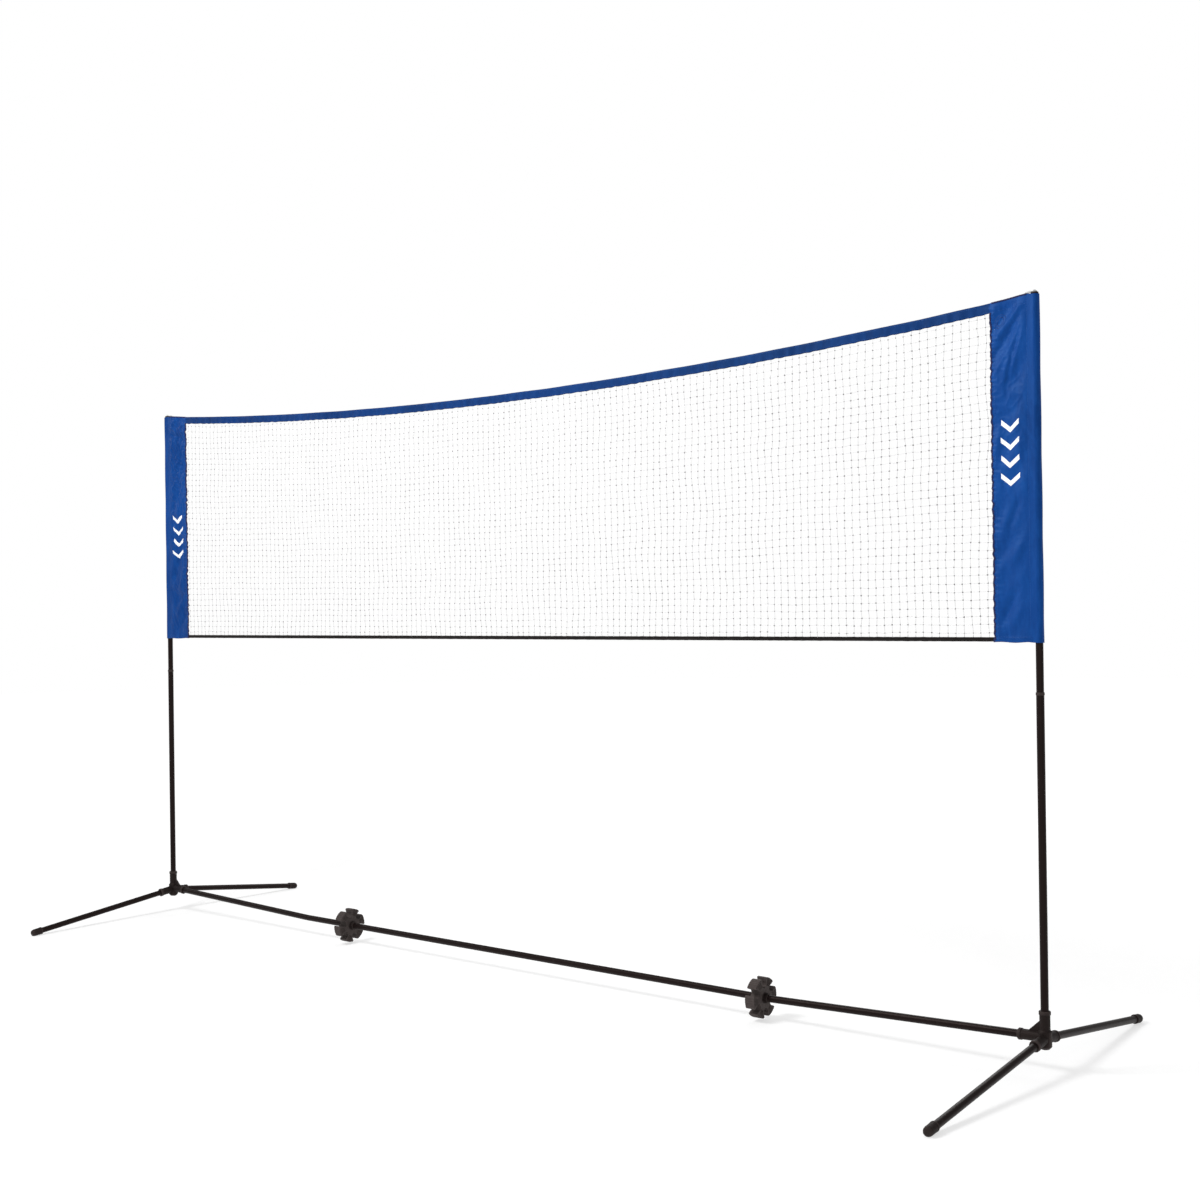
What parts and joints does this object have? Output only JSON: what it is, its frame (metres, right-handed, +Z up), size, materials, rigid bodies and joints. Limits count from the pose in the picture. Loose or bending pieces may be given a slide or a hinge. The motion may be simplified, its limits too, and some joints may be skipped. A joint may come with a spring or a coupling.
{
  "type": "portable badminton net",
  "caption": "Free-standing badminton net: fabric side sleeves on two poles, four-legged bases, and a floor bar with storage clips.",
  "frame": {"origin": "on the floor, midway between the two poles and under the net's plane", "axes": "+X along the net towards the right pole, +Y away from the front, +Z up"},
  "size_m": [2.9272, 0.9804, 1.558],
  "materials": {
    "tube_black": "satin powder coat",
    "connector_plastic": "fine moulded texture",
    "clip_plastic": "fine moulded texture",
    "spigot_steel": "drawn rod",
    "sleeve_polyester": "plain-woven polyester with a soft sheen",
    "band_polyester": "plain-woven polyester tape",
    "band_black": "woven tape",
    "net_cord": "thin twisted nylon",
    "loop_cord": "braided elastic cord"
  },
  "bodies": {
    "frame": {"base_left": "connector_plastic", "base_right": "connector_plastic", "bar_end_left": "tube_black", "bar_end_right": "tube_black", "bar_middle_left": "tube_black", "bar_middle_right": "tube_black", "bar_spigot_left": "spigot_steel", "bar_spigot_middle": "spigot_steel", "bar_spigot_right": "spigot_steel"},
    "left_front_leg": {"leg_left_front": "tube_black", "foot_left_front": "connector_plastic"},
    "left_back_leg": {"leg_left_back": "tube_black", "foot_left_back": "connector_plastic"},
    "right_front_leg": {"leg_right_front": "tube_black", "foot_right_front": "connector_plastic"},
    "right_back_leg": {"leg_right_back": "tube_black", "foot_right_back": "connector_plastic"},
    "left_bush": {"clip_bush_left": "connector_plastic"},
    "left_clip": {"clip_left": "clip_plastic"},
    "right_bush": {"clip_bush_right": "connector_plastic"},
    "right_clip": {"clip_right": "clip_plastic"},
    "lower_poles": {"pole_lower_left": "tube_black", "pole_lower_right": "tube_black"},
    "upper_poles": {"pole_upper_left": "tube_black", "pole_upper_right": "tube_black", "pole_collar_left": "connector_plastic", "pole_collar_right": "connector_plastic", "pole_tip_left": "connector_plastic", "pole_tip_right": "connector_plastic"},
    "net": {"sleeve_left": "sleeve_polyester", "sleeve_right": "sleeve_polyester", "top_band": "band_polyester", "net_panel": "net_cord", "bottom_band": "band_black", "corner_loop_left": "loop_cord", "corner_loop_right": "loop_cord"}
  },
  "joints": [
    {"name": "left_front_leg_pull", "type": "slide", "parent": "frame", "child": "left_front_leg", "axis": [0, -0.9924, -0.1229], "range_m": [0, 0.031]},
    {"name": "left_back_leg_pull", "type": "slide", "parent": "frame", "child": "left_back_leg", "axis": [0, 0.9924, -0.1229], "range_m": [0, 0.031]},
    {"name": "right_front_leg_pull", "type": "slide", "parent": "frame", "child": "right_front_leg", "axis": [0, -0.9924, -0.1229], "range_m": [0, 0.031]},
    {"name": "right_back_leg_pull", "type": "slide", "parent": "frame", "child": "right_back_leg", "axis": [0, 0.9924, -0.1229], "range_m": [0, 0.031]},
    {"name": "left_clip_slide", "type": "slide", "parent": "frame", "child": "left_bush", "axis": [1, 0, 0], "range_m": [-0.158, 0.432]},
    {"name": "left_clip_turn", "type": "hinge", "parent": "left_bush", "child": "left_clip", "pos_m": [-0.622, 0, 0.051], "axis": [1, 0, 0], "continuous": true},
    {"name": "right_clip_slide", "type": "slide", "parent": "frame", "child": "right_bush", "axis": [-1, 0, 0], "range_m": [-0.004, 0.565]},
    {"name": "right_clip_turn", "type": "hinge", "parent": "right_bush", "child": "right_clip", "pos_m": [0.77, 0, 0.051], "axis": [1, 0, 0], "continuous": true},
    {"name": "poles_out_of_bases", "type": "slide", "parent": "frame", "child": "lower_poles", "axis": [0, 0, 1], "range_m": [0, 0.049]},
    {"name": "upper_poles_out", "type": "slide", "parent": "lower_poles", "child": "upper_poles", "axis": [0, 0, 1], "range_m": [0, 0.058]},
    {"name": "net_off_poles", "type": "slide", "parent": "upper_poles", "child": "net", "axis": [0, 0, 1], "range_m": [0, 0.68]}
  ]
}
